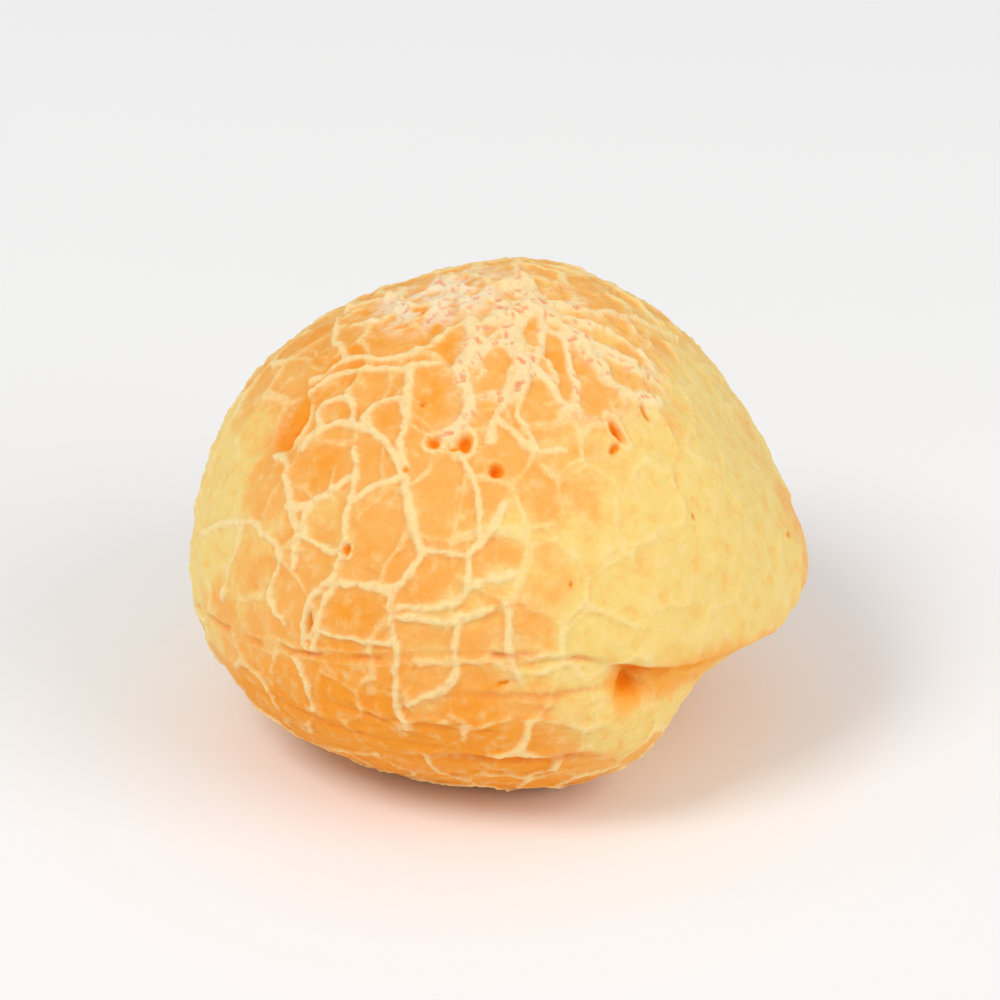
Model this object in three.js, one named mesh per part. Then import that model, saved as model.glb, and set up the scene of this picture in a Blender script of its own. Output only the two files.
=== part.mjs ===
// A pão de queijo: a round Brazilian cheese ball, puffed in the oven.
//
// It is one solid piece of bread. Its upper crust is a tall dome. As the dough rose it split along
// a seam, which stayed a hairline round most of the ball and tore open on one side, so that the
// dome's lip hangs over a gaping crack. A fuller, lower half, tucked in under that lip, carries the
// ball down to the flat foot it stood on in the oven.
//
// Millimetres, +Z up. The origin is on the tray, under the middle of the ball. The front of the
// ball faces -Y, and the crack runs from there towards +X.

import * as THREE from "three";
import { mergeVertices } from "three/addons/utils/BufferGeometryUtils.js";

// ---- driving dimensions ------------------------------------------------------------------------

const WIDTH = 50.8; // along X, at the waist
const DEPTH = 50; // along Y, at the waist
const DOME = 24.6; // from the waist to the crown
const KEEL = 16.6; // from the waist to where the lower half would end if it weren't flat
const WAIST = 14.2; // height of the waist, the widest level, above the tray
const DOME_FULLNESS = 2; // 2 is an ellipse, and more is squarer
const KEEL_FULLNESS = 2.1;
const FOOT_ROUNDING = 0.9; // how softly the side turns into the flat foot

const SEAM_FRONT = 4.5; // the seam's height above the waist at the front
const SEAM_BACK = -1;
const SEAM_CLIMB = 5.6; // how late it climbs there: 1 is evenly, all the way from the back
const SEAM_SAG = 0.8; // how far the seam drops where it is open
const SEAM_GROOVE = 0.28; // the seam's depth where it stayed shut
const SEAM_WIDTH = 1.4;

const GAPE_AZIMUTH = -42; // middle of the open crack, in degrees from +X towards +Y
const GAPE_HALF_ANGLE = 30;
const GAPE_DEPTH = 2.2;
const GAPE_WIDTH = 3.6;
const LIP_SWELL = 0.5; // how far the dome's edge stands out over the open crack
const LIP_REACH = 4; // how far up the dome that swelling reaches

const TUCK_AZIMUTH = -10; // where the lower half is tucked in furthest
const TUCK_HALF_ANGLE = 48;
const TUCK_DEPTH = 4;
const TUCK_REACH = 6; // how far below the seam the tuck has its full depth
const TUCK_EASE = 16; // how far below the seam it starts to ease out again
const TUCK_END = 27; // how far below the seam it has gone, so that the foot stays round

// Low swellings and hollows: azimuth and latitude in degrees, height and radius in millimetres.
const LUMPS = [
  { name: "flat right shoulder", azimuth: 4, latitude: 34, height: -2.2, radius: 11 },
  { name: "right cheek", azimuth: -6, latitude: 2, height: 1, radius: 6.5 },
  { name: "left cheek", azimuth: 190, latitude: -12, height: 0.4, radius: 10 },
  { name: "flat upper left", azimuth: 150, latitude: 66, height: -0.8, radius: 7 },
  { name: "flat lower left", azimuth: -147, latitude: -38, height: -0.7, radius: 5 },
  { name: "crown knot", azimuth: 60, latitude: 79, height: 0.6, radius: 3.5 },
  { name: "front swelling", azimuth: -100, latitude: 30, height: 0.4, radius: 9 },
  { name: "bulge under the crack's end", azimuth: -66, latitude: -10, height: 0.9, radius: 5.5 },
  { name: "dent", azimuth: -156, latitude: 39, height: -1.7, radius: 2.4 },
  { name: "dent's tail", azimuth: -166, latitude: 41, height: -0.9, radius: 2 },
  { name: "hole at the crack's end", azimuth: -65, latitude: 1, height: -1.4, radius: 1.8 },
  { name: "back swelling", azimuth: 78, latitude: 22, height: 0.8, radius: 9 },
  { name: "back hollow", azimuth: 118, latitude: 44, height: -0.7, radius: 7 },
  { name: "back dent", azimuth: 60, latitude: 50, height: -0.9, radius: 2.2 },
  { name: "back low swelling", azimuth: 130, latitude: -28, height: 0.6, radius: 8 },
  { name: "front low hollow", azimuth: -115, latitude: -34, height: -0.4, radius: 6 },
];

// The grid: a band of rows round the ball, crowded at the seam, between a top and a bottom cap.
const COLUMNS = 24; // in a quarter of the band, and along each side of a cap
const ROWS = 30;
const BAND_LATITUDE = 44; // the band's top and bottom edges, in degrees from its middle row
const ROWS_AT_SEAM = 0.26; // the middle rows' spacing, as a share of even spacing

// ---- helpers -----------------------------------------------------------------------------------

const { degToRad, clamp, lerp, smoothstep } = THREE.MathUtils;
const TURN = 2 * Math.PI;
const GIRTH_RADIUS = WIDTH / 2;

const hill = (distance, radius) => Math.exp(-((distance / radius) ** 2));

// The smaller of two lengths, rounded where they meet within `soft` of each other.
function roundedMin(a, b, soft) {
  const share = clamp(0.5 + (b - a) / (2 * soft), 0, 1);
  return lerp(b, a, share) - soft * share * (1 - share);
}

function unitVector(azimuth, latitude) {
  return new THREE.Vector3(
    Math.cos(latitude) * Math.cos(azimuth),
    Math.cos(latitude) * Math.sin(azimuth),
    Math.sin(latitude),
  );
}

// 1 at the middle of a span of azimuths, falling smoothly to 0 at its ends.
function span(azimuth, middle, halfAngle) {
  const apart = Math.abs(azimuth - degToRad(middle)) % TURN;
  const nearest = Math.min(apart, TURN - apart) / degToRad(halfAngle);
  return 1 - smoothstep(nearest, 0.45, 1.15);
}

const openness = (azimuth) => span(azimuth, GAPE_AZIMUTH, GAPE_HALF_ANGLE);

// The seam's latitude, seen from the middle of the waist.
function seamLatitude(azimuth) {
  const frontness = ((1 - Math.sin(azimuth)) / 2) ** SEAM_CLIMB;
  const ripple = 0.3 * Math.sin(3 * azimuth + 1) + 0.2 * Math.sin(7 * azimuth);
  const height = lerp(SEAM_BACK, SEAM_FRONT, frontness) + ripple - SEAM_SAG * openness(azimuth);
  return Math.atan(height / GIRTH_RADIUS);
}

// ---- the form ----------------------------------------------------------------------------------

// The outline of the puffed dough before any fold or lump.
function puffedRadius(direction) {
  const across = Math.hypot(direction.x / (WIDTH / 2), direction.y / (DEPTH / 2));
  const up = Math.abs(direction.z) / (direction.z > 0 ? DOME : KEEL);
  const fullness = direction.z > 0 ? DOME_FULLNESS : KEEL_FULLNESS;
  return (across ** fullness + up ** fullness) ** (-1 / fullness);
}

// What the lip, the crack under it and the tucked-in lower half add to the radius of a point
// that lies `below` millimetres under the seam.
function seamRelief(azimuth, below) {
  const open = openness(azimuth);
  const width = lerp(SEAM_WIDTH, GAPE_WIDTH, open);
  const depth = lerp(SEAM_GROOVE, GAPE_DEPTH, open);
  const underLip = smoothstep(below, -0.5, 0.7);
  const upTheShelf = 1 - smoothstep(below, 0.35 * width, 1.25 * width);
  const lip = LIP_SWELL * open * hill(Math.min(below + 0.7, 0), LIP_REACH);
  const tuckedAt = smoothstep(below, 0, TUCK_REACH) - smoothstep(below, TUCK_EASE, TUCK_END);
  const tucked = TUCK_DEPTH * tuckedAt * span(azimuth, TUCK_AZIMUTH, TUCK_HALF_ANGLE);
  return lip * (1 - underLip) - depth * underLip * upTheShelf - tucked;
}

function lumpRelief(direction) {
  return LUMPS.reduce((sum, lump) => {
    const middle = unitVector(degToRad(lump.azimuth), degToRad(lump.latitude));
    const away = direction.angleTo(middle) * GIRTH_RADIUS;
    return sum + lump.height * hill(away, lump.radius);
  }, 0);
}

// A point of the crust. The band's latitudes are bent so that its middle row runs along the seam.
function crustPoint(azimuth, bandLatitude) {
  const latitude = bandLatitude + seamLatitude(azimuth) * Math.cos(bandLatitude) ** 2;
  const direction = unitVector(azimuth, latitude);
  const below = -bandLatitude * GIRTH_RADIUS;
  let radius = puffedRadius(direction) + seamRelief(azimuth, below) + lumpRelief(direction);
  if (direction.z < 0) radius = roundedMin(radius, WAIST / -direction.z, FOOT_ROUNDING);
  return direction.multiplyScalar(radius).add(new THREE.Vector3(0, 0, WAIST));
}

// ---- the mesh ----------------------------------------------------------------------------------

const BAND = degToRad(BAND_LATITUDE);

function bandPoint(column, row) {
  const up = (2 * row) / ROWS - 1;
  const crowded = up * lerp(1, ROWS_AT_SEAM, 1 - Math.abs(up));
  return crustPoint((TURN / 4) * (column / COLUMNS - 0.5), BAND * crowded);
}

// The azimuth of a point of a square, evened out so that equal steps along a side turn equally.
function squareAzimuth(x, y) {
  if (Math.abs(y) > Math.abs(x)) return (TURN / 4) * Math.sign(y) - (TURN / 8) * (x / y);
  if (x === 0) return 0;
  return (TURN / 8) * (y / x) + (x < 0 ? TURN / 2 : 0);
}

// A cap is a square grid pushed out to a disc, so that its rim meets the band's edge all round.
function capPoint(column, row, side) {
  const x = (2 * column) / COLUMNS - 1;
  const y = (2 * row) / COLUMNS - 1;
  const ring = Math.max(Math.abs(x), Math.abs(y));
  return crustPoint(squareAzimuth(x, y), side * (TURN / 4 - ring * (TURN / 4 - BAND)));
}

// The triangles of a grid of points, each of its cells cut along the shorter diagonal.
function gridTriangles(columns, rows, pointAt) {
  const corners = [];
  for (let row = 0; row < rows; row++) {
    for (let column = 0; column < columns; column++) {
      const a = pointAt(column, row);
      const b = pointAt(column + 1, row);
      const c = pointAt(column + 1, row + 1);
      const d = pointAt(column, row + 1);
      const cut = a.distanceTo(c) <= b.distanceTo(d) ? [a, b, c, a, c, d] : [a, b, d, b, c, d];
      corners.push(...cut);
    }
  }
  return corners;
}

function crustGeometry() {
  const corners = [
    ...gridTriangles(4 * COLUMNS, ROWS, bandPoint),
    ...gridTriangles(COLUMNS, COLUMNS, (column, row) => capPoint(column, row, 1)),
    ...gridTriangles(COLUMNS, COLUMNS, (column, row) => capPoint(row, column, -1)),
  ];
  const closed = mergeVertices(new THREE.BufferGeometry().setFromPoints(corners), 1e-3);
  closed.computeBoundingBox();
  const middle = closed.boundingBox.getCenter(new THREE.Vector3());
  closed.translate(-middle.x, -middle.y, -closed.boundingBox.min.z);
  closed.computeVertexNormals();
  return closed;
}

function cheeseBall() {
  const crust = new THREE.MeshStandardMaterial({ color: 0xf5bd6c, roughness: 0.62, metalness: 0 });
  const ball = new THREE.Mesh(crustGeometry(), crust);
  ball.name = "cheese_ball";
  return ball;
}

const part = new THREE.Group();
part.add(cheeseBall());

export default part;
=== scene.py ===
# The looks of a pão de queijo, built round its imported solid.
#
# The imported solid gives the ball's form: dome, lip, open crack, dents and flat foot. A much finer
# mesh is laid over it, and the crust is modelled on that: a net of raised, frothy veins round
# smooth cells, a fan of veins from the crown, a hairline seam, wrinkles, a dent and pores. What
# each point of the crust is made of goes into mesh attributes, with painted shade in its creases
# and pits and painted warm light in its recesses, and the material paints from those.

from math import radians, tau

import bpy
import numpy as np
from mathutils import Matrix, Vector, noise
from mathutils.bvhtree import BVHTree
from mathutils.kdtree import KDTree


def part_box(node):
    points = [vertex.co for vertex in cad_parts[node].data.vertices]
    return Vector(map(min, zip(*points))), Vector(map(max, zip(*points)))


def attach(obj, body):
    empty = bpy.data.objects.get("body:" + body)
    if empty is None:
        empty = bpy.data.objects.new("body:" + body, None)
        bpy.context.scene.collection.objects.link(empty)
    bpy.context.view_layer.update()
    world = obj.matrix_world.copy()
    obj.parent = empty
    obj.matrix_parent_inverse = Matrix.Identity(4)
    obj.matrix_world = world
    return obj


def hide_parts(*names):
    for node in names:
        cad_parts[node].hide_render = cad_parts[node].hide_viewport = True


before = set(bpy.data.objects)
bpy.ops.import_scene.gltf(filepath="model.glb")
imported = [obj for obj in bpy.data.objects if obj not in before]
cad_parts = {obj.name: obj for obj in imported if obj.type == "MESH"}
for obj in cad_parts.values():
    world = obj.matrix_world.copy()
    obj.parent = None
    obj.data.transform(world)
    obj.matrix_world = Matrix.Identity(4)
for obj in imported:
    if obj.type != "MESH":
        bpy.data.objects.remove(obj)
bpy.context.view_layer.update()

NODE = "cheese_ball"
MM = 0.001

noise.seed_set(2)  # Blender's noise vectors would otherwise change from run to run
SEED_STEP = 17.3  # how far apart in the noise two seeds look it up

LOW, HIGH = (np.array(corner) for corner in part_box(NODE))
GIRTH_RADIUS = (HIGH[0] - LOW[0]) / 2
HEIGHT = HIGH[2] - LOW[2]
WAIST = 0.364 * HEIGHT  # the widest level
HEART = np.array([0.0, 0.0, WAIST])  # directions and latitudes are seen from here


# ---- the crust's features ----------------------------------------------------------------------
# Azimuths run in degrees from +X towards +Y, so the front is -90, and latitudes up from the waist.

# The seam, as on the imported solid: a hairline round the ball, open under the lip.
SEAM_FRONT = 4.5 * MM
SEAM_BACK = -1.0 * MM
SEAM_CLIMB = 5.6
SEAM_SAG = 0.8 * MM
GAPE_AZIMUTH, GAPE_HALF_ANGLE = -42, 30

CROWN_POLE = (-35, 81)  # where the veins of the crown run together
FAN_TOWARDS = -62  # the azimuth to which they fan out furthest

# The cells of the front, from the top row down, where they aren't scattered: azimuth, latitude.
CELLS = [
    (50, 79), (101, 79), (-124, 70), (-155, 67), (152, 61), (-173, 48),
    (-127, 62), (-138, 56), (-112, 56), (-94, 62), (-143, 48), (-127, 51),
    (-75, 58), (-73, 49), (-80, 40), (-58, 55), (-104, 39), (-128, 42), (-139, 38),
    (-117, 31), (-130, 29), (-153, 30), (-176, 32), (-161, 23), (-106, 24), (-92, 28),
    (-129, 21), (-146, 16), (-159, 12), (-118, 15), (-133, 12), (-104, 14), (-94, 17),
    (-85, 14), (-142, 3), (-119, 5), (-131, -2), (-122, -3), (-113, -2), (-104, 3),
    (-95, 1), (-124, -13), (-104, -9), (-90, -8),
]

# The veins that stand out: half width, and the places they run through, as azimuth and latitude.
MAIN_VEINS = [
    ("band down to the ringed pore", 0.55 * MM, [(-108, 77), (-106, 64), (-101, 57), (-105, 51)]),
    ("from the ringed pore", 0.24 * MM, [(-101, 49), (-98, 44), (-95, 38), (-94, 30)]),
    ("long left band", 0.42 * MM, [(-130, 62), (-122, 56), (-118, 48), (-114, 42), (-106, 28)]),
    ("its left branch", 0.32 * MM, [(-106, 28), (-112, 21), (-119, 20), (-125, 20)]),
    ("left of the slit", 0.28 * MM, [(-125, 20), (-129, 15), (-129, 9), (-128, 4)]),
    ("right of the slit", 0.26 * MM, [(-124, 19), (-126, 13), (-126, 5)]),
    ("its right branch", 0.30 * MM, [(-106, 28), (-97, 29), (-92, 33), (-89, 39)]),
    ("between the branches", 0.26 * MM, [(-97, 29), (-97, 24), (-98, 20)]),
    ("upper twin", 0.30 * MM, [(-163, 50), (-157, 58), (-144, 63), (-134, 67), (-117, 79)]),
    ("lower twin", 0.30 * MM, [(-160, 47), (-157, 52), (-148, 58), (-136, 62), (-118, 66)]),
    ("upper left loop", 0.28 * MM, [(-158, 57), (-178, 57), (157, 57), (154, 69)]),
    ("the loop's branch", 0.28 * MM, [(178, 60), (-174, 66), (172, 70), (152, 68)]),
    ("arch", 0.30 * MM, [(-146, 40), (-143, 46), (-134, 49), (-126, 48), (-115, 43)]),
    ("the arch's left bow", 0.30 * MM,
     [(-144, 44), (-150, 47), (-147, 51), (-141, 52), (-135, 49)]),
    ("the arch's right bow", 0.30 * MM, [(-130, 49), (-133, 53), (-126, 56), (-120, 52)]),
    ("down from the dent", 0.30 * MM, [(-157, 35), (-149, 35), (-142, 31), (-136, 25), (-134, 19)]),
    ("star's right arm", 0.30 * MM, [(-141, 29), (-134, 32), (-129, 38)]),
    ("down to the ringed pit", 0.28 * MM, [(-132, 45), (-128, 40), (-125, 34), (-123, 25)]),
    ("across to the long band", 0.26 * MM, [(-114, 42), (-120, 39), (-125, 34)]),
    ("left of the ringed pit", 0.26 * MM, [(-134, 33), (-136, 29), (-133, 25), (-125, 26)]),
    ("below the ringed pit", 0.28 * MM, [(-123, 25), (-125, 20)]),
    ("left rim's vein", 0.28 * MM, [(-167, 12), (-160, 17), (-150, 22), (-140, 22)]),
    ("down from the left rim", 0.26 * MM, [(-152, 21), (-152, 14), (-153, 5)]),
    ("left cell's right side", 0.26 * MM, [(-140, 22), (-137, 19), (-139, 14), (-134, 8)]),
    ("front fork", 0.30 * MM, [(-74, 75), (-87, 64), (-89, 57), (-93, 50)]),
    ("front fork's twin", 0.28 * MM, [(-72, 75), (-81, 63), (-84, 57), (-80, 49)]),
    ("front fork's right arm", 0.26 * MM, [(-72, 72), (-67, 69), (-66, 62)]),
    ("under the fork", 0.26 * MM, [(-89, 55), (-85, 51), (-79, 48), (-72, 47)]),
    ("right band", 0.55 * MM, [(-40, 79), (-40, 71), (-45, 62), (-43, 55), (-34, 51)]),
    ("crown's left band", 0.60 * MM, [(-37, 81), (-81, 81), (-114, 76)]),
    ("crown's top", 0.40 * MM, [(-33, 81), (11, 84), (66, 82), (78, 75)]),
    ("crown's right", 0.36 * MM, [(-24, 80), (-9, 73), (8, 60), (16, 50)]),
    ("upper of the low twins", 0.28 * MM, [(-110, 18), (-100, 20), (-94, 24), (-87, 26)]),
    ("lower of the low twins", 0.28 * MM, [(-110, 16), (-99, 17), (-91, 20)]),
    ("down across the seam", 0.28 * MM, [(-112, 21), (-110, 10), (-109, -1), (-107, -7)]),
    ("its neighbour", 0.28 * MM, [(-98, 18), (-98, 10), (-99, 4), (-107, -1)]),
    ("its other neighbour", 0.30 * MM, [(-88, 21), (-88, 11), (-86, 4)]),
    ("above the seam", 0.26 * MM, [(-127, 10), (-120, 10), (-110, 11)]),
    ("left below the seam", 0.26 * MM, [(-131, 2), (-128, -3), (-128, -8)]),
]
DRAWN_AROUND = (-125, 33)  # on the dome's front left, round here, they make up most of the net
DRAWN_REACH = (0.669, 0.788)  # cosines of the angles from there where that ends, and is at its full

# Spots where the oven toasted the crust more, or less: azimuth, latitude, radius, amount. The left
# rim's paleness is a painted highlight, and the front and left feet are partly painted shade.
TOASTING = [
    ("tan front", -118, 38, 13 * MM, 0.12),
    ("tan crown's left", -150, 62, 9 * MM, 0.30),
    ("pale right", -38, 10, 16 * MM, -0.62),
    ("pale low middle", -76, 12, 8.5 * MM, -0.36),
    ("pale upper right", -10, 42, 12 * MM, -0.42),
    ("tan crown", -48, 70, 8 * MM, 0.3),
    # painted highlight: the left rim paler for the light that catches it
    ("pale left rim", -176, 8, 10 * MM, -0.6),
    ("pale left shoulder", -166, 32, 6 * MM, -0.25),
    ("pale lower left", -148, 12, 6 * MM, -0.3),
    # partly tray browning and partly painted shade: the front and left feet darker for the shade
    # low in front
    ("front foot", -107, -34, 12 * MM, 1.7),
    ("left foot", -140, -30, 9 * MM, 0.8),
    ("bulge under the crack", -68, -8, 5 * MM, -0.25),
    ("back top", 95, 48, 12 * MM, 0.4),
    ("back left", 140, -5, 11 * MM, -0.35),
    ("back right", 35, 5, 9 * MM, -0.2),
    ("back foot", 80, -35, 9 * MM, 0.4),
    ("right foot", 0, -35, 9 * MM, 0.3),
]

# Pores: azimuth, latitude, half width, half height, depth, tilt, and how high its rim stands.
PORES = [
    ("ringed pore", -100.0, 49.8, 0.60 * MM, 0.85 * MM, 0.8 * MM, -10, 0.2 * MM),
    ("its corner", -102.5, 48.6, 0.65 * MM, 0.30 * MM, 0.4 * MM, 20, 0.0),
    ("its neighbour", -109.2, 49.2, 0.58 * MM, 0.52 * MM, 0.7 * MM, 0, 0.14 * MM),
    ("round pore", -91.0, 44.3, 0.62 * MM, 0.62 * MM, 1.0 * MM, 0, 0.06 * MM),
    ("crease", -54.5, 49.6, 0.40 * MM, 1.10 * MM, 0.7 * MM, 10, 0.12 * MM),
    ("crease's foot", -57.5, 46.2, 0.75 * MM, 0.32 * MM, 0.45 * MM, 30, 0.05 * MM),
    ("side slit", -41.0, 50.2, 0.25 * MM, 0.80 * MM, 0.3 * MM, -12, 0.1 * MM),
    ("tiny pore", -114.4, 43.0, 0.28 * MM, 0.34 * MM, 0.4 * MM, 0, 0.0),
    ("crown pore", -118.0, 56.5, 0.30 * MM, 0.30 * MM, 0.35 * MM, 0, 0.0),
    ("ringed pit", -123.1, 25.8, 0.36 * MM, 0.45 * MM, 0.3 * MM, 0, 0.25 * MM),
    ("slit", -127.8, 10.9, 0.26 * MM, 0.85 * MM, 0.5 * MM, 4, 0.18 * MM),
    ("right pit", -43.8, 28.7, 0.22 * MM, 0.30 * MM, 0.25 * MM, 0, 0.0),
    ("far right pit", -13.9, 12.1, 0.30 * MM, 0.30 * MM, 0.3 * MM, 0, 0.05 * MM),
    ("middle pit", -75.5, 22.7, 0.22 * MM, 0.30 * MM, 0.25 * MM, 0, 0.0),
    ("pit at the second line", -89.5, 4.6, 0.75 * MM, 0.24 * MM, 0.3 * MM, 15, 0.0),
    ("back pore", 62.0, 30.0, 0.60 * MM, 0.65 * MM, 0.8 * MM, 0, 0.12 * MM),
    ("back slit", 120.0, 24.0, 0.35 * MM, 0.95 * MM, 0.6 * MM, 25, 0.12 * MM),
    ("left back pore", 160.0, 40.0, 0.50 * MM, 0.55 * MM, 0.6 * MM, 0, 0.1 * MM),
]

# Folds that run part of the way round the lower half: height, azimuth, half angle, depth, width.
FOLDS = [
    ("second line", 14.9 * MM, -84, 18, 0.18 * MM, 0.24 * MM),
    ("low line", 11.9 * MM, -106, 19, 0.16 * MM, 0.24 * MM),
    ("foot fold", 8.2 * MM, -88, 18, 0.55 * MM, 0.42 * MM),
    ("left fold", 9.6 * MM, -128, 16, 0.16 * MM, 0.26 * MM),
    ("left foot fold", 5.2 * MM, -115, 22, 0.22 * MM, 0.35 * MM),
    ("back fold", 9.0 * MM, 95, 40, 0.30 * MM, 0.40 * MM),
    ("right fold", 7.0 * MM, 10, 30, 0.25 * MM, 0.35 * MM),
]

# How high the crust's features stand, and how deep they go.
MAIN_VEIN_HEIGHT = 0.37 * MM
NET_HEIGHT = 0.36 * MM
FINE_NET_HEIGHT = 0.14 * MM
CROWN_VEIN_HEIGHT = 0.34 * MM
CROWN_KNOT_HEIGHT = 0.35 * MM
STRING_DEPTH = 0.10 * MM  # between the two veins of a double one
WRINKLE_DEPTH = 0.10 * MM
WAVE_HEIGHT = 0.28 * MM  # the unevenness of the whole crust, broad
ROUGH_HEIGHT = 0.09 * MM  # and fine
HAIRLINE_DEPTH = 0.26 * MM
HAIRLINE_EDGE_HEIGHT = 0.10 * MM
ROOT_DEPTH = 0.3 * MM  # of the groove deep under the lip
LIP_DROOP = 0.3 * MM
HOLE_DEPTH = 1.3 * MM
SLIT_DEPTH = 0.4 * MM
DENT_DEPTH = 1.4 * MM
DENT_RIDGE_HEIGHT = 0.42 * MM
FLOUR_HEIGHT = 0.14 * MM
FROTH_HEIGHT = 0.12 * MM
SPECK_DEPTH = 0.2 * MM


# ---- small helpers -----------------------------------------------------------------------------


def linear(red, green, blue):
    """An sRGB colour, 0 to 255, as the linear values that Blender takes."""
    shares = np.array([red, green, blue]) / 255
    low = shares / 12.92
    high = ((shares + 0.055) / 1.055) ** 2.4
    return tuple(np.where(shares <= 0.04045, low, high)) + (1.0,)


def smoothstep(value, start, end):
    t = np.clip((value - start) / (end - start), 0, 1)
    return t * t * (3 - 2 * t)


def bell(distance, radius):
    return np.exp(-((distance / radius) ** 2))


def lerp(a, b, share):
    return a + (b - a) * share


def unit(vectors):
    return vectors / np.linalg.norm(vectors, axis=-1, keepdims=True)


def direction(azimuth, latitude):
    azimuth, latitude = radians(azimuth), radians(latitude)
    level = np.cos(latitude)
    return np.array([level * np.cos(azimuth), level * np.sin(azimuth), np.sin(latitude)])


def span(azimuths, middle, half_angle):
    """1 at the middle of a span of azimuths, falling smoothly to 0 at its ends."""
    apart = np.abs((azimuths - radians(middle) + np.pi) % tau - np.pi)
    return 1 - smoothstep(apart / radians(half_angle), 0.45, 1.15)


def noise_at(points, scale, octaves, seed):
    """Smooth noise from about -1 to 1, whose lumps are about `scale` across."""
    places = points / scale + SEED_STEP * seed
    return np.array([noise.fractal(p, 1.0, 2.0, octaves) for p in places])


def noise_vectors_at(points, scale, seed):
    places = points / scale + SEED_STEP * seed
    return np.array([noise.noise_vector(p) for p in places])


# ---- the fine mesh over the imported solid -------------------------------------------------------

CELLS_ALONG = 127  # quads along each side of the cube that is blown up to a ball
FINER_TOWARDS = 0.24 * direction(-100, 42)  # the grid is finer there, and coarser opposite
FACET_ROUNDS = 60  # of smoothing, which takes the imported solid's facets out
LIP_ROUNDS = 4  # the same at the lip, whose edge stays crisp
CHART_MARGIN = 0.012

# Each side of the cube: outwards, and along its columns and rows.
CUBE_SIDES = np.array([
    [(1, 0, 0), (0, 1, 0), (0, 0, 1)],
    [(0, 1, 0), (-1, 0, 0), (0, 0, 1)],
    [(-1, 0, 0), (0, -1, 0), (0, 0, 1)],
    [(0, -1, 0), (1, 0, 0), (0, 0, 1)],
    [(0, 0, 1), (0, 1, 0), (-1, 0, 0)],
    [(0, 0, -1), (0, 1, 0), (1, 0, 0)],
])


def cube_ball():
    """Directions of a cube's grid blown up to a ball, its quads, and the quads' corners as UVs."""
    n = CELLS_ALONG
    steps = np.arange(-n, n + 1, 2)
    column, row = (grid.ravel() for grid in np.meshgrid(steps, steps))
    lattice = np.concatenate([
        side[0] * n + np.outer(column, side[1]) + np.outer(row, side[2]) for side in CUBE_SIDES
    ])
    places, index = np.unique(lattice, axis=0, return_inverse=True)
    index = index.reshape(len(CUBE_SIDES), n + 1, n + 1)
    corners = [index[:, :-1, :-1], index[:, :-1, 1:], index[:, 1:, 1:], index[:, 1:, :-1]]
    quads = np.stack(corners, axis=-1).reshape(-1, 4)
    ball = unit(np.tan(places / n * np.pi / 4))
    return unit(ball + FINER_TOWARDS), quads, chart_corners(n)


def chart_corners(n):
    """UVs of every quad's corners: one square chart for each side of the cube, three by two."""
    share = np.linspace(0, 1, n + 1)
    u, v = np.meshgrid(share, share)
    charts = []
    for side in range(len(CUBE_SIDES)):
        left, bottom = (side % 3) / 3, (side // 3) / 2
        chart = np.stack([
            left + CHART_MARGIN + u * (1 / 3 - 2 * CHART_MARGIN),
            bottom + CHART_MARGIN + v * (1 / 2 - 2 * CHART_MARGIN),
        ], axis=-1)
        corners = [chart[:-1, :-1], chart[:-1, 1:], chart[1:, 1:], chart[1:, :-1]]
        charts.append(np.stack(corners, axis=2))
    return np.array(charts).reshape(-1, 2)


def edges_of(quads):
    pairs = np.concatenate([quads[:, [k, (k + 1) % 4]] for k in range(4)])
    return np.unique(np.sort(pairs, axis=1), axis=0)


def smoothed(values, edges, rounds):
    """Values on the mesh's vertices, moved halfway to their neighbours' mean in each round."""
    a, b = edges.T
    degree = np.bincount(edges.ravel(), minlength=len(values))
    for _ in range(rounds):
        around = np.bincount(a, values[b], len(values)) + np.bincount(b, values[a], len(values))
        values = (values + around / degree) / 2
    return values


def cast_on_solid(directions):
    """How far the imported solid's surface is from the ball's heart, in each direction."""
    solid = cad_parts[NODE].data
    tree = BVHTree.FromPolygons(
        [v.co for v in solid.vertices], [p.vertices for p in solid.polygons]
    )
    heart = Vector(HEART)
    return np.array([tree.ray_cast(heart, Vector(d))[3] for d in directions])


# ---- where each point of the crust is ----------------------------------------------------------


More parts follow.
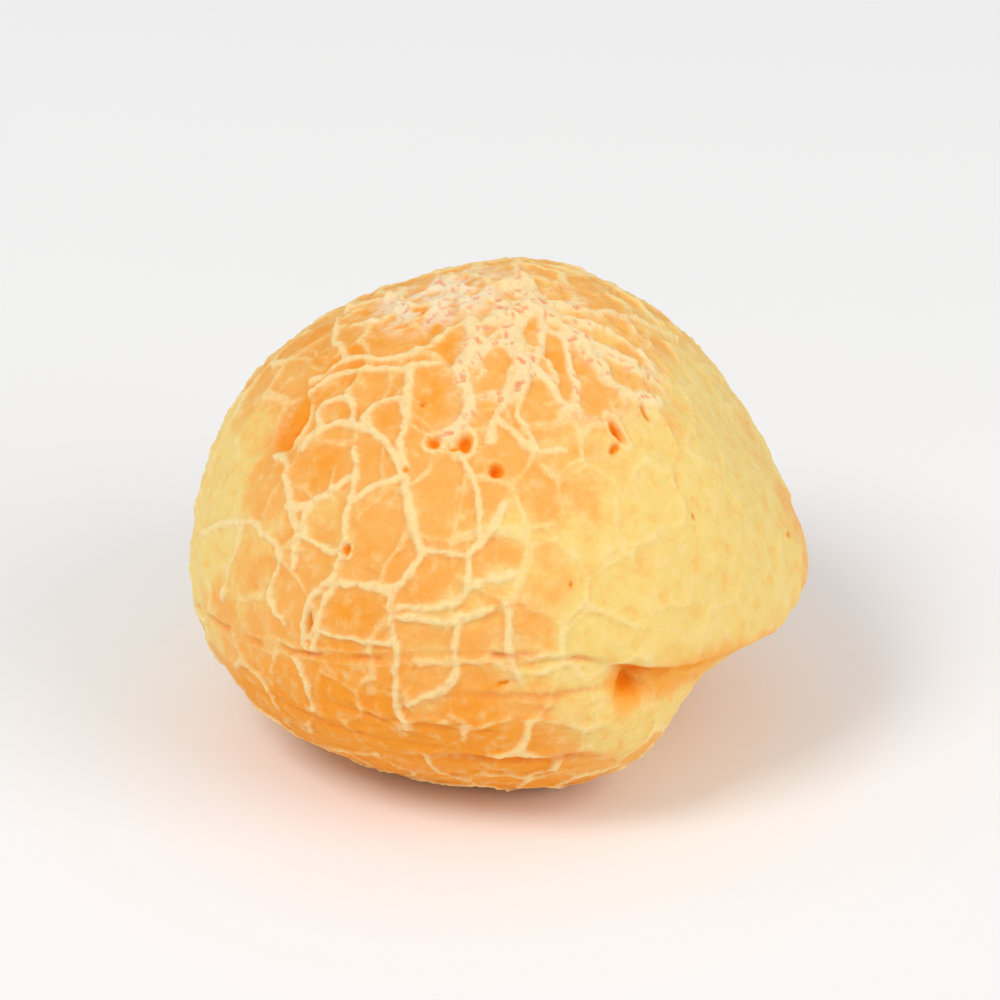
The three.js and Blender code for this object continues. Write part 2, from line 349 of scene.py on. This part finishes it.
class Crust:
    """The fine mesh's points: direction, azimuth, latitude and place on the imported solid."""

    def __init__(self):
        self.directions, self.quads, self.uvs = cube_ball()
        self.edges = edges_of(self.quads)
        self.azimuth = np.arctan2(self.directions[:, 1], self.directions[:, 0])
        self.latitude = np.arcsin(np.clip(self.directions[:, 2], -1, 1))
        self.open = span(self.azimuth, GAPE_AZIMUTH, GAPE_HALF_ANGLE)
        self.below = (seam_latitude(self.azimuth, self.open) - self.latitude) * GIRTH_RADIUS
        raw = cast_on_solid(self.directions)
        near_lip = bell(self.below - 0.4 * MM, 2.2 * MM) * (0.25 + 0.75 * self.open)
        even, crisp = (smoothed(raw, self.edges, rounds) for rounds in (FACET_ROUNDS, LIP_ROUNDS))
        self.radius = lerp(even, crisp, near_lip)
        self.base = HEART + self.directions * self.radius[:, None]
        self.fan = Fan(self.directions)
        self.froth = noise_at(self.base, 0.7 * MM, 2, 7)
        # pit and crease mark painted shade in hollows and grooves; the mask between them marks
        # painted warm light in recesses
        self.relief, self.vein, self.pit, self.glow, self.crease = np.zeros((5, len(self.base)))

    def places_of(self, directions):
        """The points of the surface in some directions."""
        return self.base[[np.argmax(self.directions @ towards) for towards in directions]]

    def place_of(self, azimuth, latitude):
        return self.places_of([direction(azimuth, latitude)])[0]

    def offsets(self, azimuth, latitude, tilt=0):
        """How far each point lies to the right of and above a place, turned by `tilt` degrees."""
        towards = direction(azimuth, latitude)
        right = unit(np.cross([0, 0, 1], towards))
        up = np.cross(towards, right)
        away = self.base - self.place_of(azimuth, latitude)
        turn = radians(tilt)
        across, along = away @ right, away @ up
        facing = self.directions @ towards > 0.5
        far = np.where(facing, 0, 1.0)
        return (
            across * np.cos(turn) + along * np.sin(turn) + far,
            along * np.cos(turn) - across * np.sin(turn) + far,
        )


def seam_latitude(azimuth, openness):
    frontness = ((1 - np.sin(azimuth)) / 2) ** SEAM_CLIMB
    ripple = (0.3 * np.sin(3 * azimuth + 1) + 0.2 * np.sin(7 * azimuth)) * MM
    height = lerp(SEAM_BACK, SEAM_FRONT, frontness) + ripple - SEAM_SAG * openness
    return np.arctan(height / GIRTH_RADIUS)


# ---- nets of veins -----------------------------------------------------------------------------


class Net:
    """Cells grown round scattered middles, and the veins where they meet.

    It is worked out in a space of its own, in which the cells are about round: `places` are the
    crust's points there, `middles` the cells' middles, and `scale` how much longer a millimetre
    of crust is there. Each pair of neighbours has a vein of its own width and strength, and some
    pairs have two thin veins side by side. Where `beside` points along a vein that is there
    already, the net's own veins don't run the same way.
    """

    NEIGHBOURS = 6
    DOUBLES = 0.76  # pairs that draw more than this get two veins

    def __init__(self, places, middles, scale, thin, thick, swell, seed, beside=None):
        tree = tree_of(middles)
        hits = [tree.find_n(place, self.NEIGHBOURS) for place in places]
        cells = np.array([[hit[1] for hit in row] for row in hits])
        gaps = np.array([[hit[2] for hit in row] for row in hits])
        self.cell = cells[:, 0]
        self.vein = np.zeros(len(places))
        self.string = np.zeros(len(places))

        draw = np.random.default_rng(seed)
        width_of, strength_of, kind_of = (
            symmetric(draw.random((len(middles),) * 2)) for _ in range(3)
        )
        for k in range(1, self.NEIGHBOURS):
            pair = self.cell, cells[:, k]
            across = middles[pair[1]] - middles[pair[0]]
            apart = np.linalg.norm(across, axis=1)
            to_edge = (gaps[:, k] ** 2 - gaps[:, 0] ** 2) / (2 * apart) / scale
            half = lerp(thin, thick, width_of[pair] ** 2) * swell
            strength = lerp(0.6, 1.1, smoothstep(strength_of[pair], 0.0, 0.4))
            if beside is not None:
                strength *= 1 - same_way(across, beside)
            double = smoothstep(kind_of[pair], self.DOUBLES, self.DOUBLES + 0.06)
            two = bell(to_edge - 1.5 * half, 0.65 * half)
            self.vein = np.maximum(self.vein, strength * lerp(bell(to_edge, half), two, double))
            self.string = np.maximum(self.string, strength * double * bell(to_edge, 0.8 * half))


def tree_of(places):
    tree = KDTree(len(places))
    for number, place in enumerate(places):
        tree.insert(place, number)
    tree.balance()
    return tree


def same_way(across, beside):
    """How far a vein that lies between two cells runs the same way as the one it is beside."""
    near = np.linalg.norm(beside, axis=1) + 1e-6
    crossing = np.sum(unit(across) * beside, axis=1) / near
    return near * smoothstep(1 - crossing ** 2, 0.55, 0.9)


def rounded(crust, vein, rounds, start, end):
    """Veins blurred and drawn in again: fuller where they meet, and the cells' corners round."""
    return smoothstep(smoothed(vein, crust.edges, rounds), start, end)


def symmetric(square):
    return np.triu(square) + np.triu(square, 1).T


def scatter(gap_at, seed, first=()):
    """Directions to the middles of cells, no closer than a gap, after the first ones."""
    draws = unit(np.random.default_rng(seed).normal(size=(14000, 3)))
    chosen = np.zeros((len(first) + len(draws), 3))
    for count, place in enumerate(first):
        chosen[count] = direction(*place)
    count = len(first)
    for towards, gap in zip(draws, gap_at(draws)):
        if np.all(chosen[:count] @ towards < np.cos(gap / GIRTH_RADIUS)):
            chosen[count] = towards
            count += 1
    return chosen[:count]


def large_gap(towards):
    crown = smoothstep(towards[:, 2], 0.85, 0.98)
    right = smoothstep(towards @ direction(-25, 12), 0.6, 0.95)
    return lerp(lerp(3.7, 4.6, right), 3.0, crown) * MM


def small_gap(towards):
    return lerp(1.9, 1.5, smoothstep(towards[:, 2], 0.6, 0.95)) * MM


def drawn_down(points):
    """Points moved so that what is round there is drawn out here, down the dome."""
    out = points - HEART
    reach = np.maximum(np.linalg.norm(out[:, :2], axis=1) / GIRTH_RADIUS, 0.03)
    out[:, :2] *= reach[:, None] ** -0.3
    out[:, 2] *= np.where(out[:, 2] > 0, 0.85, 1.3)
    return out, 0.85 * reach ** -0.3


class Fan:
    """The plane in which the crown's cells are round. On the crust they fan out from the pole."""

    EVEN_AT = 8 * MM  # the distance from the pole where a cell is as wide here as there
    DRAWN_OUT = 0.38  # how wide the cells are there, as a share of how long

    def __init__(self, directions):
        pole = direction(*CROWN_POLE)
        right = unit(np.cross([0, 0, 1], pole))
        up = np.cross(pole, right)
        self.away = np.arccos(np.clip(directions @ pole, -1, 1)) * GIRTH_RADIUS
        across, along = directions @ right, directions @ up
        level = np.hypot(across, along) + 1e-9
        towards = direction(FAN_TOWARDS, 0)
        facing = (across * (towards @ right) + along * (towards @ up)) / level
        reach = lerp(7, 17, smoothstep(facing, -0.2, 0.7)) * MM
        self.zone = 1 - smoothstep(self.away, 0.5 * reach, reach)
        share = np.maximum(self.away, 0.4 * MM) / self.EVEN_AT
        self.scale = share ** (self.DRAWN_OUT - 1)
        spread = self.EVEN_AT * share ** self.DRAWN_OUT / level
        self.places = np.stack([across * spread, along * spread, 0 * spread], axis=1)


# ---- the crust, feature by feature -------------------------------------------------------------


def curve_through(places, steps=30):
    """Points along a smooth curve through some places."""
    ends = np.concatenate([[2 * places[0] - places[1]], places, [2 * places[-1] - places[-2]]])
    t = np.linspace(0, 1, steps)[:, None]
    return np.concatenate([
        b + (c - a) * t / 2 + (2 * a - 5 * b + 4 * c - d) * t ** 2 / 2
        + (3 * b - a - 3 * c + d) * t ** 3 / 2
        for a, b, c, d in zip(ends, ends[1:], ends[2:], ends[3:])
    ])


def add_main_veins(crust):
    """The veins drawn one by one. The broad ones are frothy."""
    curves = [
        curve_through(np.array([direction(*place) for place in places]))
        for _, _, places in MAIN_VEINS
    ]
    halves = np.concatenate([[vein[1]] * len(curve) for vein, curve in zip(MAIN_VEINS, curves)])
    headings = np.concatenate([unit(np.gradient(curve, axis=0)) for curve in curves])
    tree = tree_of(crust.places_of(unit(np.concatenate(curves))))
    warp = noise_vectors_at(crust.base, 3.0 * MM, 31) * 0.5 * MM
    warp += noise_vectors_at(crust.base, 1.0 * MM, 32) * 0.2 * MM
    warp -= np.sum(warp * crust.directions, axis=1)[:, None] * crust.directions  # along the crust
    hits = [tree.find(place)[1:] for place in crust.base + warp]
    nearest = np.array([hit[0] for hit in hits])
    away = np.array([hit[1] for hit in hits])
    half = halves[nearest] * (0.9 + 0.3 * noise_at(crust.base, 1.6 * MM, 2, 33))
    broad = smoothstep(halves[nearest], 0.4 * MM, 0.6 * MM)
    crust.vein = rounded(crust, bell(away, half), 2, 0.08, 0.65) * (1 + 0.3 * crust.froth)
    crust.frothy = lerp(0.3, 1.0, broad) * bell(away, 1.4 * half)
    crust.beside = headings[nearest] * bell(away, half + 0.8 * MM)[:, None]
    crust.relief += MAIN_VEIN_HEIGHT * crust.vein


def add_net(crust):
    """The net all over: large cells with clear veins, and a faint net of small ones between."""
    pale_side = smoothstep(crust.directions @ direction(-24, 14), 0.5, 0.92)
    warp = noise_vectors_at(crust.base, 5.0 * MM, 1) * 0.9 * MM
    warp += noise_vectors_at(crust.base, 1.8 * MM, 2) * 0.45 * MM
    swell = 1 + 0.35 * noise_at(crust.base, 2.0 * MM, 2, 5)
    places, scale = drawn_down(crust.base + warp)
    middles, _ = drawn_down(crust.places_of(scatter(large_gap, 11, CELLS)))
    large = Net(places, middles, scale, 0.23 * MM, 0.46 * MM, swell, 5, crust.beside)
    places, scale = drawn_down(crust.base + 1.3 * warp)
    middles, _ = drawn_down(crust.places_of(scatter(small_gap, 12)))
    small = Net(places, middles, scale, 0.22 * MM, 0.34 * MM, swell, 6)

    patchy = smoothstep(noise_at(crust.base, 6 * MM, 2, 6), -0.5, 0.05)
    along = lerp(0.82, 1.0, smoothstep(noise_at(crust.base, 1.9 * MM, 2, 17), -0.5, 0.3))
    drawn = smoothstep(crust.directions @ direction(*DRAWN_AROUND), *DRAWN_REACH)
    fade = lerp(1.0, 0.52, pale_side) * lerp(0.85, 1.0, patchy) * (1 - 0.6 * crust.fan.zone)
    fade *= 1 - 0.3 * drawn
    fine_patch = smoothstep(noise_at(crust.base, 5 * MM, 2, 16), -0.3, 0.3)
    fine_fade = lerp(0.42, 0.2, pale_side) * fine_patch * (1 - crust.fan.zone)
    vein = rounded(crust, large.vein, 3, 0.12, 0.8) * along * fade
    fine_vein = rounded(crust, small.vein, 3, 0.25, 0.9) * fine_fade
    crust.relief += NET_HEIGHT * vein * (1 + 0.4 * crust.froth)
    crust.relief += FINE_NET_HEIGHT * fine_vein
    crust.vein = np.maximum(crust.vein, np.maximum(vein, fine_vein))
    string = large.string * fade
    crust.relief -= STRING_DEPTH * string
    # painted shade in the groove between the two veins of a double one
    crust.crease = np.maximum(crust.crease, 0.35 * string * smoothstep(crust.froth, 0.0, 0.4))
    crust.cell = large.cell


def add_crown_veins(crust):
    """Frothy veins that fan out from the crown's pole, with long cells between them."""
    middles = Fan(scatter(lambda towards: np.full(len(towards), 1.1 * MM), 21))
    near = middles.away < 26 * MM
    apart = thinned(middles.places[near], 2.3 * MM)
    warp = noise_vectors_at(crust.base, 3.0 * MM, 22) * 0.6 * MM
    swell = 1 + 0.5 * noise_at(crust.base, 1.5 * MM, 2, 23)
    places = crust.fan.places + warp * [1, 1, 0]
    net = Net(places, apart, crust.fan.scale, 0.28 * MM, 0.60 * MM, swell, 24)
    net_vein = rounded(crust, net.vein, 2, 0.15, 0.85)
    vein = (0.1 + 0.9 * net_vein) * crust.fan.zone * (1 + 0.5 * crust.froth)
    crust.frothy = np.maximum(crust.frothy, crust.fan.zone * net_vein)
    crust.relief += CROWN_KNOT_HEIGHT * noise_at(crust.base, 2.4 * MM, 2, 25) * crust.fan.zone
    crust.relief += CROWN_VEIN_HEIGHT * vein
    crust.vein = np.maximum(crust.vein, vein)


def thinned(places, gap):
    """The first of the places, then each that is no closer than a gap to those already kept."""
    kept = places[:1]
    for place in places[1:]:
        if np.all(np.linalg.norm(kept - place, axis=1) > gap):
            kept = np.concatenate([kept, [place]])
    return kept


def add_wrinkles(crust):
    """Fine wrinkles round the lower half, and the unevenness of the whole crust."""
    lower = smoothstep(crust.below, 0.5 * MM, 4 * MM)
    height = crust.base[:, 2]
    stretched = np.stack([
        3 * np.cos(crust.azimuth), 3 * np.sin(crust.azimuth), height / (1.1 * MM)
    ], axis=1)
    wrinkle = lower * (1 - smoothstep(np.abs(noise_at(stretched, 1.0, 2, 8)), 0.0, 0.14))
    crust.relief -= WRINKLE_DEPTH * wrinkle
    # painted shade in the wrinkles
    crust.crease = np.maximum(crust.crease, 0.25 * wrinkle)
    crust.relief += WAVE_HEIGHT * noise_at(crust.base, 9 * MM, 2, 9)
    rough = noise_at(crust.base, 1.6 * MM, 3, 10) * (1 + 0.7 * crust.fan.zone)
    crust.relief += ROUGH_HEIGHT * rough


def add_folds(crust):
    for name, height, azimuth, half_angle, depth, width in FOLDS:
        wander = 0.45 * MM * noise_at(crust.base, 4 * MM, 2, len(name))
        apart = crust.base[:, 2] - height - wander
        reach = span(crust.azimuth, azimuth, half_angle)
        line = bell(apart, width) * reach
        crust.relief += depth * (0.3 * bell(apart - 1.8 * width, width) * reach - line)
        # painted shade along the fold
        crust.crease = np.maximum(crust.crease, line * min(1, depth / (0.3 * MM)))


def add_seam(crust):
    """A hairline where the seam is shut, and a deep root under the lip where it is open."""
    wander = 0.25 * MM * noise_at(crust.base, 2.5 * MM, 2, 12)
    to_line = crust.below - 0.1 * MM - wander
    shut = bell(to_line, 0.26 * MM) * (1 - crust.open)
    broken = smoothstep(noise_at(crust.base, 3.2 * MM, 2, 13), -0.4, 0.2)
    crust.relief -= HAIRLINE_DEPTH * shut * broken
    # painted shade in the hairline
    crust.crease = np.maximum(crust.crease, shut * broken)
    edges = bell(np.abs(to_line) - 0.6 * MM, 0.22 * MM) * (1 - crust.open)
    crust.relief += HAIRLINE_EDGE_HEIGHT * edges
    crust.vein = np.maximum(crust.vein, 0.4 * edges)
    root = bell(crust.below - 0.6 * MM, 0.36 * MM) * crust.open
    crust.relief -= ROOT_DEPTH * root
    # painted shade in the root, and painted warm light on the shelf under the lip
    crust.pit = np.maximum(crust.pit, root)
    crust.glow = np.maximum(crust.glow, crust.open * bell(crust.below - 1.4 * MM, 2.2 * MM))
    crust.droop = LIP_DROOP * crust.open * bell(crust.below + 0.55 * MM, 0.75 * MM)


def add_hole(crust):
    """The ragged hole at the crack's left end, and the slit that runs right from its top."""
    across, along = crust.offsets(-64.5, 0)
    ragged = 0.4 * noise_at(crust.base, 1.3 * MM, 3, 41)
    reach = np.hypot(across / (1.5 * MM), along / (1.2 * MM)) + ragged
    bowl = 1 - smoothstep(reach, 0.1, 1.2)
    to_slit = along - 0.75 * MM - 0.1 * across + 0.3 * MM * ragged
    along_slit = smoothstep(across, 0.2 * MM, 0.9 * MM) - smoothstep(across, 2.4 * MM, 4.2 * MM)
    slit = bell(to_slit, 0.34 * MM) * along_slit
    crust.relief -= HOLE_DEPTH * bowl + SLIT_DEPTH * slit
    # painted shade in the hole and slit, and painted warm light round them
    crust.pit = np.maximum(crust.pit, np.maximum(bowl, 0.8 * slit))
    crust.glow = np.maximum(crust.glow, bell(reach, 1.7))


def add_dent(crust):
    """A comma of a dent on the upper left: steep under its right edge, easing out to the left."""
    across, along = crust.offsets(-158, 41.5, 12)
    edge = across - 1.9 * MM + 0.26 * along ** 2 / MM
    length = bell(along - 0.2 * edge, 2.7 * MM)
    slope = np.where(edge < 0, bell(edge, 3.2 * MM), bell(edge, 0.35 * MM)) * length
    crust.relief -= DENT_DEPTH * slope
    ridge = bell(edge - 0.85 * MM, 0.45 * MM) * length
    crust.relief += DENT_RIDGE_HEIGHT * ridge
    crust.vein = np.maximum(crust.vein * (1 - slope), ridge)
    # painted shade on the dent's steep side, and painted warm light over the dent
    crust.pit = np.maximum(crust.pit, smoothstep(slope, 0.2, 0.85))
    crust.glow = np.maximum(crust.glow, smoothstep(slope, 0.0, 0.8))


def add_pores(crust):
    for name, azimuth, latitude, half_width, half_height, depth, tilt, rim in PORES:
        across, along = crust.offsets(azimuth, latitude, tilt)
        reach = np.hypot(across / half_width, along / half_height)
        reach += 0.2 * noise_at(crust.base, 0.9 * MM, 1, len(name) + 20) * (reach < 3)
        bowl = 1 - smoothstep(reach, 0.35, 1.2)
        ring = bell(reach - 1.55, 0.4)
        crust.relief += rim * ring - depth * bowl
        crust.vein = np.maximum(crust.vein, min(1, rim / (0.15 * MM)) * ring)
        # painted shade in the pore, and painted warm light round it
        crust.pit = np.maximum(crust.pit, bowl)
        crust.glow = np.maximum(crust.glow, 0.6 * bell(reach, 1.3))


def add_froth(crust):
    """The floury patch on the crown, and the finely pitted froth of it and of the broad veins."""
    patch = smoothstep(crust.directions @ direction(165, 77), 0.955, 0.995)
    crust.flour = patch * smoothstep(noise_at(crust.base, 1.6 * MM, 3, 15), -0.4, 0.25)
    crust.relief += FLOUR_HEIGHT * crust.flour * (0.5 + crust.froth)
    crust.frothy = np.clip(np.maximum(crust.frothy, crust.flour), 0, 1)
    rough = noise_at(crust.base, 0.9 * MM, 2, 51)
    crust.relief += FROTH_HEIGHT * rough * crust.frothy
    crust.speck = crust.frothy * smoothstep(noise_at(crust.base, 0.6 * MM, 2, 52), 0.24, 0.5)
    crust.relief -= SPECK_DEPTH * crust.speck


def add_toasting(crust):
    """How much the oven toasted each point, with a painted highlight on the left rim and painted
    shade low in front.
    """
    tone = np.random.default_rng(3).random(crust.cell.max() + 1)[crust.cell]
    tone = smoothed(tone, crust.edges, 10)
    crust.toast = 0.5 + 0.16 * noise_at(crust.base, 11 * MM, 2, 14) + 0.36 * (tone - 0.5)
    for name, azimuth, latitude, reach, amount in TOASTING:
        away = np.linalg.norm(crust.base - crust.place_of(azimuth, latitude), axis=1)
        crust.toast += amount * bell(away, reach)
    crust.toast -= 0.35 * (smoothed(crust.vein, crust.edges, 25) - 0.3)


FEATURES = (
    add_main_veins, add_net, add_crown_veins, add_wrinkles, add_folds, add_seam, add_hole,
    add_dent, add_pores, add_froth, add_toasting,
)


def model_crust(crust):
    """Moves the fine mesh's points out or in; says what each is made of, and its painted shade and
    light.
    """
    for add_feature in FEATURES:
        add_feature(crust)
    foot = smoothstep(crust.base[:, 2], 0.15 * MM, 1.6 * MM)
    radius = crust.radius + crust.relief * foot
    lowered = crust.latitude - crust.droop / GIRTH_RADIUS
    level = np.cos(lowered)
    towards = np.stack([
        level * np.cos(crust.azimuth), level * np.sin(crust.azimuth), np.sin(lowered)
    ], axis=1)
    points = HEART + towards * radius[:, None]
    points[:, 2] = np.maximum(points[:, 2], 0)
    masks = {
        "vein": crust.vein,
        "toast": crust.toast,
        "pit": crust.pit,
        "glow": crust.glow,
        "crease": crust.crease,
        "flour": crust.flour,
        "frothy": crust.frothy,
        "speck": crust.speck,
        "under": 1 - foot,
    }
    return points, masks


def make_ball():
    crust = Crust()
    points, masks = model_crust(crust)
    mesh = bpy.data.meshes.new("crust_ball")
    mesh.from_pydata(points.tolist(), [], crust.quads.tolist())
    mesh.polygons.foreach_set("use_smooth", np.ones(len(crust.quads), bool))
    charts = mesh.uv_layers.new(name="OFBake")
    charts.data.foreach_set("uv", crust.uvs.astype(np.float32).ravel())
    for name, values in masks.items():
        attribute = mesh.attributes.new(name, "FLOAT", "POINT")
        attribute.data.foreach_set("value", values.astype(np.float32))
    mesh.validate()
    ball = bpy.data.objects.new("crust_ball", mesh)
    bpy.context.scene.collection.objects.link(ball)
    return ball


# ---- the crust's material ----------------------------------------------------------------------

PALE = linear(245, 213, 128)
GOLDEN = linear(252, 180, 92)
TANNED = linear(254, 160, 44)
CREAM = linear(252, 222, 160)
FROTH = linear(254, 226, 182)
FLOUR = linear(255, 234, 200)
# Besides the crust's own colours, the next three are painted: warm light on the shelf under the lip
# and round pits, the shade of pits and hollows, and the shade of creases.
PAINTED_SHELF_GLOW = linear(255, 180, 62)
PAINTED_PIT_SHADE = linear(255, 150, 14)
PAINTED_CREASE_SHADE = linear(250, 140, 54)
PINKISH = linear(250, 142, 92)

# How large the crust's patches of colour are, and the bumps that two of them make.
GRAIN_SIZE, GRAIN_BUMP = 0.35 * MM, 0.11 * MM
MOTTLE_SIZE, MOTTLE_BUMP = 1.5 * MM, 0.22 * MM
BLOTCH_SIZE = 3.2 * MM


class Nodes:
    """Short ways to add and join the nodes of one material."""

    def __init__(self, material):
        material.use_nodes = True
        self.tree = material.node_tree
        self.shader = self.tree.nodes["Principled BSDF"]
        self.place = self.add("ShaderNodeTexCoord").outputs["Object"]

    def add(self, kind, **settings):
        node = self.tree.nodes.new(kind)
        for key, value in settings.items():
            setattr(node, key, value)
        return node

    def feed(self, socket, value):
        if isinstance(value, bpy.types.NodeSocket):
            self.tree.links.new(value, socket)
        else:
            socket.default_value = value

    def mask(self, name):
        return self.add("ShaderNodeAttribute", attribute_name=name).outputs["Fac"]

    def math(self, operation, a, b=0.0, c=0.0):
        node = self.add("ShaderNodeMath", operation=operation)
        for socket, value in zip(node.inputs, (a, b, c)):
            self.feed(socket, value)
        return node.outputs[0]

    def noise(self, size, detail, roughness):
        node = self.add("ShaderNodeTexNoise")
        self.feed(node.inputs["Vector"], self.place)
        node.inputs["Scale"].default_value = 1 / size
        node.inputs["Detail"].default_value = detail
        node.inputs["Roughness"].default_value = roughness
        return node.outputs["Fac"]

    def ramp(self, value, start, end, low=0.0, high=1.0):
        node = self.add("ShaderNodeMapRange", interpolation_type="SMOOTHSTEP")
        for socket, number in zip(node.inputs, (value, start, end, low, high)):
            self.feed(socket, number)
        return node.outputs["Result"]

    def mix(self, share, a, b):
        node = self.add("ShaderNodeMix", data_type="RGBA")
        self.feed(node.inputs[0], share)
        self.feed(node.inputs[6], a)
        self.feed(node.inputs[7], b)
        return node.outputs[2]

    def bump(self, height, depth, normal=None):
        node = self.add("ShaderNodeBump")
        node.inputs["Strength"].default_value = 1.0
        node.inputs["Distance"].default_value = depth
        self.feed(node.inputs["Height"], height)
        if normal is not None:
            self.feed(node.inputs["Normal"], normal)
        return node.outputs["Normal"]


def crust_material():
    material = bpy.data.materials.new("baked_crust")
    n = Nodes(material)
    vein, toast, pit, glow = (n.mask(name) for name in ("vein", "toast", "pit", "glow"))
    grain = n.noise(GRAIN_SIZE, 3, 0.6)
    blotch = n.noise(BLOTCH_SIZE, 4, 0.6)

    patchiness = n.ramp(toast, 0.0, 0.5, 0.06, 0.2)
    toast = n.math("MULTIPLY_ADD", n.ramp(blotch, 0.3, 0.7, -1.0, 1.0), patchiness, toast)
    # painted warm light: the recesses round pits and under the lip are pushed towards tan, for the
    # warm light bouncing in them
    toast = n.math("ADD", toast, n.math("MULTIPLY", glow, 0.8))
    colour = n.mix(n.ramp(toast, 0.05, 0.55), PALE, GOLDEN)
    colour = n.mix(n.ramp(toast, 0.6, 1.15), colour, TANNED)
    mottle = n.noise(MOTTLE_SIZE, 4, 0.55)
    colour = n.mix(n.ramp(mottle, 0.5, 0.72, 0.0, 0.4), colour, CREAM)
    colour = n.mix(n.ramp(mottle, 0.5, 0.3, 0.0, 0.3), colour, TANNED)
    ragged = n.math("ADD", vein, n.ramp(grain, 0.3, 0.7, -0.12, 0.12))
    colour = n.mix(n.ramp(ragged, 0.12, 1.0, 0.0, 0.85), colour, CREAM)
    frothy = n.mask("frothy")
    colour = n.mix(n.math("MULTIPLY", frothy, 0.5), colour, FROTH)
    colour = n.mix(n.math("MULTIPLY", n.mask("flour"), 0.75), colour, FLOUR)
    colour = n.mix(n.math("MULTIPLY", n.mask("speck"), 0.8), colour, PINKISH)
    # painted light: a bright warm orange on the shelf under the lip and round the pits, for the
    # warm light bouncing into them
    colour = n.mix(n.ramp(glow, 0.3, 1.0, 0.0, 0.8), colour, PAINTED_SHELF_GLOW)
    # painted shade: reddish in the hairline seam, folds, wrinkles and between double veins
    colour = n.mix(n.math("MULTIPLY", n.mask("crease"), 0.62), colour, PAINTED_CREASE_SHADE)
    # painted shade: deep orange in pits, the hole, the dent and the root under the lip
    colour = n.mix(n.ramp(pit, 0.05, 0.95), colour, PAINTED_PIT_SHADE)
    colour = n.mix(n.math("MULTIPLY", n.mask("under"), 0.6), colour, TANNED)
    n.feed(n.shader.inputs["Base Color"], colour)

    n.feed(n.shader.inputs["Roughness"], n.ramp(vein, 0.1, 0.7, 0.55, 0.8))
    fine = n.bump(grain, GRAIN_BUMP)
    lumpy = n.bump(mottle, MOTTLE_BUMP, fine)
    n.feed(n.shader.inputs["Normal"], lumpy)

    shader = n.shader.inputs
    shader["Subsurface Weight"].default_value = 0.5
    shader["Subsurface Radius"].default_value = (1.0, 0.6, 0.25)
    shader["Subsurface Scale"].default_value = 0.6 * MM
    shader["Specular IOR Level"].default_value = 0.15
    return material


# ---- floor, light and camera -------------------------------------------------------------------

LOOKING_DOWN = radians(28.5)
CAMERA_AWAY = 0.70
BALL_SHARE = 0.62  # of the picture's width
SENSOR = 36.0
FLOOR_HALF = 3.0
WORLD_STRENGTH = 0.56

# Each lamp: name, place, size and power.
LAMPS = [
    ("key", (-0.42, -0.35, 0.72), 0.35, 3.1),
    ("fill", (0.62, -0.35, 0.5), 0.6, 2.4),
]


def make_floor():
    mesh = bpy.data.meshes.new("floor")
    corners = [(FLOOR_HALF * x, FLOOR_HALF * y, 0) for x, y in ((-1, -1), (1, -1), (1, 1), (-1, 1))]
    mesh.from_pydata(corners, [], [(0, 1, 2, 3)])
    floor = bpy.data.objects.new("floor", mesh)
    material = bpy.data.materials.new("floor")
    material.use_nodes = True
    shader = material.node_tree.nodes["Principled BSDF"].inputs
    shader["Base Color"].default_value = (0.93, 0.93, 0.93, 1)
    shader["Roughness"].default_value = 0.7
    mesh.materials.append(material)
    bpy.context.scene.collection.objects.link(floor)


def make_lamp(name, place, size, power):
    data = bpy.data.lights.new(name, "AREA")
    data.size = size
    data.energy = power
    lamp = bpy.data.objects.new(name, data)
    lamp.location = place
    middle = Vector((0, 0, HEIGHT / 2))
    lamp.rotation_euler = (middle - lamp.location).to_track_quat("-Z", "Y").to_euler()
    bpy.context.scene.collection.objects.link(lamp)


def make_light():
    world = bpy.data.worlds.new("studio")
    world.use_nodes = True
    background = world.node_tree.nodes["Background"].inputs
    background["Color"].default_value = (1, 1, 1, 1)
    background["Strength"].default_value = WORLD_STRENGTH
    bpy.context.scene.world = world
    for lamp in LAMPS:
        make_lamp(*lamp)


def make_camera():
    data = bpy.data.cameras.new("camera")
    data.sensor_width = SENSOR
    seen_width = 2 * GIRTH_RADIUS / BALL_SHARE
    data.lens = SENSOR * CAMERA_AWAY / seen_width
    data.clip_start = 0.01
    camera = bpy.data.objects.new("camera", data)
    middle = Vector((0, 0, 0.5 * HEIGHT))
    back = Vector((0, -np.cos(LOOKING_DOWN), np.sin(LOOKING_DOWN)))
    camera.location = middle + back * CAMERA_AWAY
    camera.rotation_euler = (-back).to_track_quat("-Z", "Y").to_euler()
    bpy.context.scene.collection.objects.link(camera)
    bpy.context.scene.camera = camera


make_camera()
make_floor()
make_light()
bpy.context.scene.view_settings.view_transform = "Standard"

ball = make_ball()
ball.data.materials.append(crust_material())
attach(ball, "root")
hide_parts(NODE)
